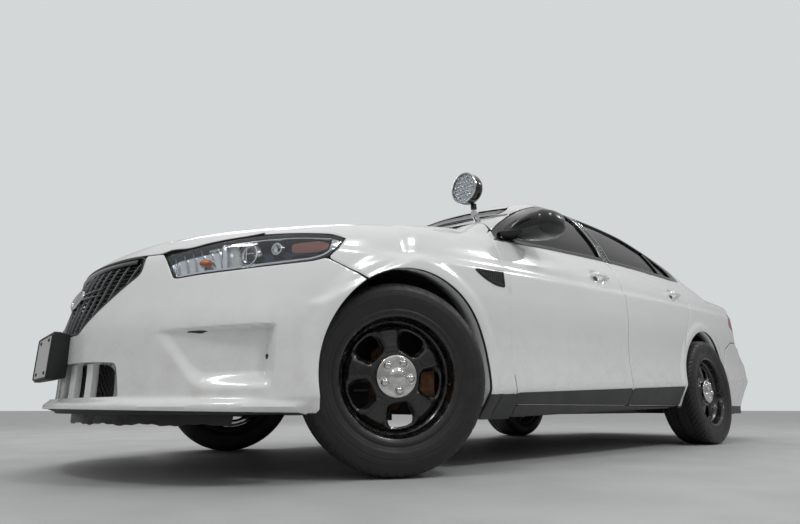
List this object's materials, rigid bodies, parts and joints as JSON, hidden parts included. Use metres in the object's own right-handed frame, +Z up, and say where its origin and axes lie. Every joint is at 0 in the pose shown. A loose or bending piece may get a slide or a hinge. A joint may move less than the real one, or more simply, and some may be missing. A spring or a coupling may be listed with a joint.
{
  "type": "police patrol car",
  "caption": "Full-size four-door police patrol saloon with black steel wheels, a pillar spotlight, opening doors, hood and trunk lid, and wheels that steer and spin.",
  "frame": {"origin": "floor level, at the centre of the overall plan box", "axes": "+Z up; the car's front faces -Y and its left side is +X"},
  "size_m": [2.244, 5.1838, 1.5408],
  "materials": {
    "white_paint": "gloss",
    "chassis_black": "satin",
    "bare_steel": "satin",
    "cast_alloy": "matte",
    "cast_iron": "matte",
    "black_plastic": "satin",
    "seat_cloth": "matte",
    "clear_lens": "gloss",
    "red_lens": "gloss",
    "tinted_glass": "gloss",
    "wheel_black": "gloss",
    "tyre_rubber": "matte",
    "lamp_chrome": "gloss"
  },
  "bodies": {
    "body": {"floor_pan": "chassis_black", "side_frames": "white_paint", "roof_panel": "white_paint", "firewall": "chassis_black", "rear_shelf": "chassis_black", "fenders": "white_paint", "front_bumper": "white_paint", "rear_bumper": "white_paint", "grilles": "black_plastic", "headlamps": "clear_lens", "tail_lamps": "red_lens", "fixed_glass": "tinted_glass", "wheel_liners": "black_plastic", "front_subframe": "chassis_black", "rear_suspension": "chassis_black", "engine_block": "cast_alloy", "exhaust": "bare_steel", "fuel_tank": "chassis_black", "dashboard": "black_plastic", "seats": "seat_cloth", "spotlight_bracket": "lamp_chrome", "plate_bracket": "black_plastic"},
    "hood": {"hood": "white_paint"},
    "trunk_lid": {"trunk_lid": "white_paint"},
    "steering_wheel": {"steering_wheel": "black_plastic"},
    "spotlight": {"spotlight_head": "lamp_chrome"},
    "front_door_left": {"door_front_left": "white_paint", "glass_front_left": "tinted_glass", "mirror_left": "black_plastic"},
    "rear_door_left": {"door_rear_left": "white_paint", "glass_rear_left": "tinted_glass"},
    "knuckle_left": {"knuckle_left": "cast_iron"},
    "wheel_front_left": {"wheel_front_left": "wheel_black", "tyre_front_left": "tyre_rubber"},
    "wheel_rear_left": {"wheel_rear_left": "wheel_black", "tyre_rear_left": "tyre_rubber"},
    "front_door_right": {"door_front_right": "white_paint", "glass_front_right": "tinted_glass", "mirror_right": "black_plastic"},
    "rear_door_right": {"door_rear_right": "white_paint", "glass_rear_right": "tinted_glass"},
    "knuckle_right": {"knuckle_right": "cast_iron"},
    "wheel_front_right": {"wheel_front_right": "wheel_black", "tyre_front_right": "tyre_rubber"},
    "wheel_rear_right": {"wheel_rear_right": "wheel_black", "tyre_rear_right": "tyre_rubber"}
  },
  "joints": [
    {"name": "front_door_left_hinge", "type": "hinge", "parent": "body", "child": "front_door_left", "pos_m": [0.97, -0.964, 0.64], "axis": [0, 0, 1], "range_deg": [-68, 0]},
    {"name": "rear_door_left_hinge", "type": "hinge", "parent": "body", "child": "rear_door_left", "pos_m": [0.97, 0.171, 0.64], "axis": [0, 0, 1], "range_deg": [-68, 0]},
    {"name": "steer_left", "type": "hinge", "parent": "body", "child": "knuckle_left", "pos_m": [0.746, -1.497, 0.3635], "axis": [0, 0, 1], "range_deg": [-9, 59]},
    {"name": "wheel_front_left_spin", "type": "hinge", "parent": "knuckle_left", "child": "wheel_front_left", "pos_m": [0.8203, -1.5317, 0.3635], "axis": [0.9063, -0.4226, 0], "continuous": true},
    {"name": "wheel_rear_left_spin", "type": "hinge", "parent": "body", "child": "wheel_rear_left", "pos_m": [0.828, 1.371, 0.3635], "axis": [1, 0, 0], "continuous": true},
    {"name": "front_door_right_hinge", "type": "hinge", "parent": "body", "child": "front_door_right", "pos_m": [-0.97, -0.964, 0.64], "axis": [0, 0, 1], "range_deg": [0, 68]},
    {"name": "rear_door_right_hinge", "type": "hinge", "parent": "body", "child": "rear_door_right", "pos_m": [-0.97, 0.171, 0.64], "axis": [0, 0, 1], "range_deg": [0, 68]},
    {"name": "steer_right", "type": "hinge", "parent": "body", "child": "knuckle_right", "pos_m": [-0.746, -1.497, 0.3635], "axis": [0, 0, 1], "range_deg": [-9, 59]},
    {"name": "wheel_front_right_spin", "type": "hinge", "parent": "knuckle_right", "child": "wheel_front_right", "pos_m": [-0.8203, -1.4623, 0.3635], "axis": [0.9063, -0.4226, 0], "continuous": true},
    {"name": "wheel_rear_right_spin", "type": "hinge", "parent": "body", "child": "wheel_rear_right", "pos_m": [-0.828, 1.371, 0.3635], "axis": [1, 0, 0], "continuous": true},
    {"name": "hood_hinge", "type": "hinge", "parent": "body", "child": "hood", "pos_m": [0, -1.167, 1.092], "axis": [1, 0, 0], "range_deg": [-60, 0]},
    {"name": "trunk_lid_hinge", "type": "hinge", "parent": "body", "child": "trunk_lid", "pos_m": [0, 1.648, 1.13], "axis": [1, 0, 0], "range_deg": [0, 75]},
    {"name": "steering_wheel_turn", "type": "hinge", "parent": "body", "child": "steering_wheel", "pos_m": [0.37, -0.592, 0.955], "axis": [0, 0.9063, 0.4226], "range_deg": [-175, 925]},
    {"name": "spotlight_swivel", "type": "hinge", "parent": "body", "child": "spotlight", "pos_m": [0.815, -0.997, 1.3], "axis": [0, 0, 1], "range_deg": [-90, 90]}
  ],
  "couplings": [
    {"joint": "steer_right", "follows": "steer_left", "ratio": 1},
    {"joint": "steering_wheel_turn", "follows": "steer_left", "ratio": 15}
  ]
}
